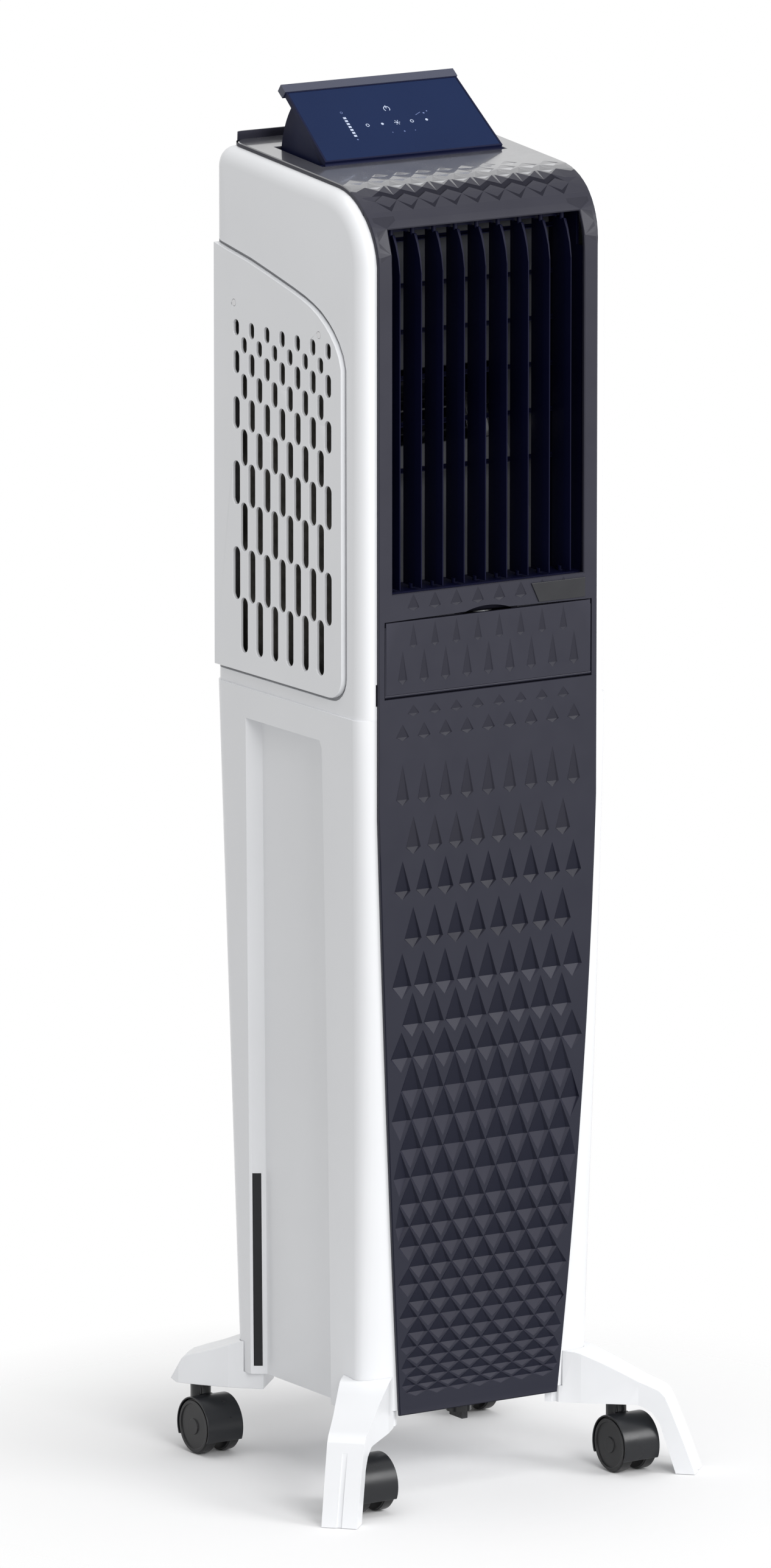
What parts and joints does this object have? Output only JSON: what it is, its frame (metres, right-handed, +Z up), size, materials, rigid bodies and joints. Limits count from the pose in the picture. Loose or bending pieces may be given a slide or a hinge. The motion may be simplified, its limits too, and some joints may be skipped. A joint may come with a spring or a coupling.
{
  "type": "evaporative tower air cooler",
  "caption": "Tall slim free-standing tower air cooler with a faceted front, upright louvres, a pop-up control pod, slotted side covers and castors.",
  "frame": {"origin": "on the floor, under the middle of the outline", "axes": "+Z up, -Y towards the louvres and the front of the fascia, +X to the right as seen from the front"},
  "size_m": [0.3916, 0.3386, 1.2065],
  "materials": {
    "white_plastic": "satin white moulded plastic",
    "fascia_plastic": "dark slate moulded plastic with a fine satin sheen",
    "navy_plastic": "near-black navy plastic",
    "pod_plastic": "deep navy satin plastic",
    "pod_glass": "smooth dark blue touch panel",
    "black_plastic": "black moulded plastic",
    "grey_plastic": "dark grey moulded plastic",
    "red_plastic": "red float plastic",
    "smoke_window": "smoked window plastic",
    "clear_tube": "soft translucent tube",
    "pad_paper": "corrugated cellulose paper",
    "motor_metal": "pressed and zinc-plated",
    "steel": "zinc-plated screw heads",
    "wheel_rubber": "black nylon and rubber wheels",
    "board_green": "green circuit board"
  },
  "bodies": {
    "cabinet": {"lower_housing": "white_plastic", "side_shell_left": "white_plastic", "side_shell_right": "white_plastic", "upper_housing": "white_plastic", "basin": "grey_plastic", "front_panel": "fascia_plastic", "badge_plate": "black_plastic", "side_cover_left": "white_plastic", "side_cover_right": "white_plastic", "rear_cover": "white_plastic", "cover_screws": "steel", "pad_left": "pad_paper", "pad_right": "pad_paper", "pad_rear": "pad_paper", "water_distributor": "grey_plastic", "louvre_frame": "navy_plastic", "air_duct": "grey_plastic", "blower_housing": "black_plastic", "fan_motor": "motor_metal", "pump_body": "black_plastic", "water_hose": "clear_tube", "level_window": "smoke_window", "swing_motor": "motor_metal", "cable_gland": "black_plastic", "drain_plug": "black_plastic", "leg_front_left": "white_plastic", "leg_front_right": "white_plastic", "leg_rear_left": "white_plastic", "leg_rear_right": "white_plastic"},
    "control_pod": {"control_pod": "pod_plastic", "pod_glass": "pod_glass", "control_board": "board_green"},
    "fill_door": {"fill_door": "fascia_plastic"},
    "fan": {"fan_impeller": "black_plastic"},
    "pump_rotor": {"pump_rotor": "grey_plastic"},
    "level_float": {"level_float": "red_plastic"},
    "louvre_link": {"louvre_link": "navy_plastic"},
    "louvre_1": {"louvre_1": "navy_plastic"},
    "louvre_2": {"louvre_2": "navy_plastic"},
    "louvre_3": {"louvre_3": "navy_plastic"},
    "louvre_4": {"louvre_4": "navy_plastic"},
    "louvre_5": {"louvre_5": "navy_plastic"},
    "louvre_6": {"louvre_6": "navy_plastic"},
    "louvre_7": {"louvre_7": "navy_plastic"},
    "louvre_8": {"louvre_8": "navy_plastic"},
    "louvre_9": {"louvre_9": "navy_plastic"},
    "vane_1": {"vane_1": "navy_plastic"},
    "vane_2": {"vane_2": "navy_plastic"},
    "vane_3": {"vane_3": "navy_plastic"},
    "vane_4": {"vane_4": "navy_plastic"},
    "vane_5": {"vane_5": "navy_plastic"},
    "vane_6": {"vane_6": "navy_plastic"},
    "caster_fl": {"caster_yoke_fl": "black_plastic"},
    "wheels_fl": {"caster_wheels_fl": "wheel_rubber"},
    "caster_fr": {"caster_yoke_fr": "black_plastic"},
    "wheels_fr": {"caster_wheels_fr": "wheel_rubber"},
    "caster_rl": {"caster_yoke_rl": "black_plastic"},
    "wheels_rl": {"caster_wheels_rl": "wheel_rubber"},
    "caster_rr": {"caster_yoke_rr": "black_plastic"},
    "wheels_rr": {"caster_wheels_rr": "wheel_rubber"}
  },
  "joints": [
    {"name": "pod_tilt", "type": "hinge", "parent": "cabinet", "child": "control_pod", "pos_m": [0, 0.01497, 1.1445], "axis": [1, 0, 0], "range_deg": [-29.5, 0]},
    {"name": "door_tilt", "type": "hinge", "parent": "cabinet", "child": "fill_door", "pos_m": [0, -0.10303, 0.7075], "axis": [1, 0, 0], "range_deg": [0, 45]},
    {"name": "louvre_5_swing", "type": "hinge", "parent": "cabinet", "child": "louvre_5", "pos_m": [0, -0.08653, 0.95], "axis": [0, 0, 1], "range_deg": [-40, 40]},
    {"name": "louvre_1_swing", "type": "hinge", "parent": "cabinet", "child": "louvre_1", "pos_m": [-0.0866, -0.08653, 0.95], "axis": [0, 0, 1], "range_deg": [-40, 40]},
    {"name": "louvre_2_swing", "type": "hinge", "parent": "cabinet", "child": "louvre_2", "pos_m": [-0.06495, -0.08653, 0.95], "axis": [0, 0, 1], "range_deg": [-40, 40]},
    {"name": "louvre_3_swing", "type": "hinge", "parent": "cabinet", "child": "louvre_3", "pos_m": [-0.0433, -0.08653, 0.95], "axis": [0, 0, 1], "range_deg": [-40, 40]},
    {"name": "louvre_4_swing", "type": "hinge", "parent": "cabinet", "child": "louvre_4", "pos_m": [-0.02165, -0.08653, 0.95], "axis": [0, 0, 1], "range_deg": [-40, 40]},
    {"name": "louvre_6_swing", "type": "hinge", "parent": "cabinet", "child": "louvre_6", "pos_m": [0.02165, -0.08653, 0.95], "axis": [0, 0, 1], "range_deg": [-40, 40]},
    {"name": "louvre_7_swing", "type": "hinge", "parent": "cabinet", "child": "louvre_7", "pos_m": [0.0433, -0.08653, 0.95], "axis": [0, 0, 1], "range_deg": [-40, 40]},
    {"name": "louvre_8_swing", "type": "hinge", "parent": "cabinet", "child": "louvre_8", "pos_m": [0.06495, -0.08653, 0.95], "axis": [0, 0, 1], "range_deg": [-40, 40]},
    {"name": "louvre_9_swing", "type": "hinge", "parent": "cabinet", "child": "louvre_9", "pos_m": [0.0866, -0.08653, 0.95], "axis": [0, 0, 1], "range_deg": [-40, 40]},
    {"name": "louvre_link_pivot", "type": "hinge", "parent": "louvre_5", "child": "louvre_link", "pos_m": [0, -0.07753, 1.102], "axis": [0, 0, 1], "range_deg": [-40, 40]},
    {"name": "vane_1_tilt", "type": "hinge", "parent": "cabinet", "child": "vane_1", "pos_m": [0, -0.05953, 0.89], "axis": [1, 0, 0], "range_deg": [-25, 25]},
    {"name": "vane_2_tilt", "type": "hinge", "parent": "cabinet", "child": "vane_2", "pos_m": [0, -0.05953, 0.93], "axis": [1, 0, 0], "range_deg": [-25, 25]},
    {"name": "vane_3_tilt", "type": "hinge", "parent": "cabinet", "child": "vane_3", "pos_m": [0, -0.05953, 0.97], "axis": [1, 0, 0], "range_deg": [-25, 25]},
    {"name": "vane_4_tilt", "type": "hinge", "parent": "cabinet", "child": "vane_4", "pos_m": [0, -0.05953, 1.01], "axis": [1, 0, 0], "range_deg": [-25, 25]},
    {"name": "vane_5_tilt", "type": "hinge", "parent": "cabinet", "child": "vane_5", "pos_m": [0, -0.05953, 1.05], "axis": [1, 0, 0], "range_deg": [-25, 25]},
    {"name": "vane_6_tilt", "type": "hinge", "parent": "cabinet", "child": "vane_6", "pos_m": [0, -0.05953, 1.09], "axis": [1, 0, 0], "range_deg": [-25, 25]},
    {"name": "fan_spin", "type": "hinge", "parent": "cabinet", "child": "fan", "pos_m": [0, 0.03147, 0.9], "axis": [1, 0, 0], "continuous": true},
    {"name": "pump_spin", "type": "hinge", "parent": "cabinet", "child": "pump_rotor", "pos_m": [0.08, 0.08747, 0.09], "axis": [0, 0, 1], "continuous": true},
    {"name": "float_rise", "type": "slide", "parent": "cabinet", "child": "level_float", "axis": [0, 0, 1], "range_m": [0, 0.2]},
    {"name": "caster_fl_swivel", "type": "hinge", "parent": "cabinet", "child": "caster_fl", "pos_m": [-0.1346, -0.10453, 0.05], "axis": [0, 0, 1], "continuous": true},
    {"name": "wheels_fl_roll", "type": "hinge", "parent": "caster_fl", "child": "wheels_fl", "pos_m": [-0.1346, -0.12003, 0.024], "axis": [1, 0, 0], "continuous": true},
    {"name": "caster_fr_swivel", "type": "hinge", "parent": "cabinet", "child": "caster_fr", "pos_m": [0.1346, -0.10453, 0.05], "axis": [0, 0, 1], "continuous": true},
    {"name": "wheels_fr_roll", "type": "hinge", "parent": "caster_fr", "child": "wheels_fr", "pos_m": [0.1346, -0.12003, 0.024], "axis": [1, 0, 0], "continuous": true},
    {"name": "caster_rl_swivel", "type": "hinge", "parent": "cabinet", "child": "caster_rl", "pos_m": [-0.1346, 0.14547, 0.05], "axis": [0, 0, 1], "continuous": true},
    {"name": "wheels_rl_roll", "type": "hinge", "parent": "caster_rl", "child": "wheels_rl", "pos_m": [-0.1346, 0.12997, 0.024], "axis": [1, 0, 0], "continuous": true},
    {"name": "caster_rr_swivel", "type": "hinge", "parent": "cabinet", "child": "caster_rr", "pos_m": [0.1346, 0.14547, 0.05], "axis": [0, 0, 1], "continuous": true},
    {"name": "wheels_rr_roll", "type": "hinge", "parent": "caster_rr", "child": "wheels_rr", "pos_m": [0.1346, 0.12997, 0.024], "axis": [1, 0, 0], "continuous": true}
  ],
  "couplings": [
    {"joint": "louvre_1_swing", "follows": "louvre_5_swing", "ratio": 1},
    {"joint": "louvre_2_swing", "follows": "louvre_5_swing", "ratio": 1},
    {"joint": "louvre_3_swing", "follows": "louvre_5_swing", "ratio": 1},
    {"joint": "louvre_4_swing", "follows": "louvre_5_swing", "ratio": 1},
    {"joint": "louvre_6_swing", "follows": "louvre_5_swing", "ratio": 1},
    {"joint": "louvre_7_swing", "follows": "louvre_5_swing", "ratio": 1},
    {"joint": "louvre_8_swing", "follows": "louvre_5_swing", "ratio": 1},
    {"joint": "louvre_9_swing", "follows": "louvre_5_swing", "ratio": 1},
    {"joint": "louvre_link_pivot", "follows": "louvre_5_swing", "ratio": -1}
  ]
}
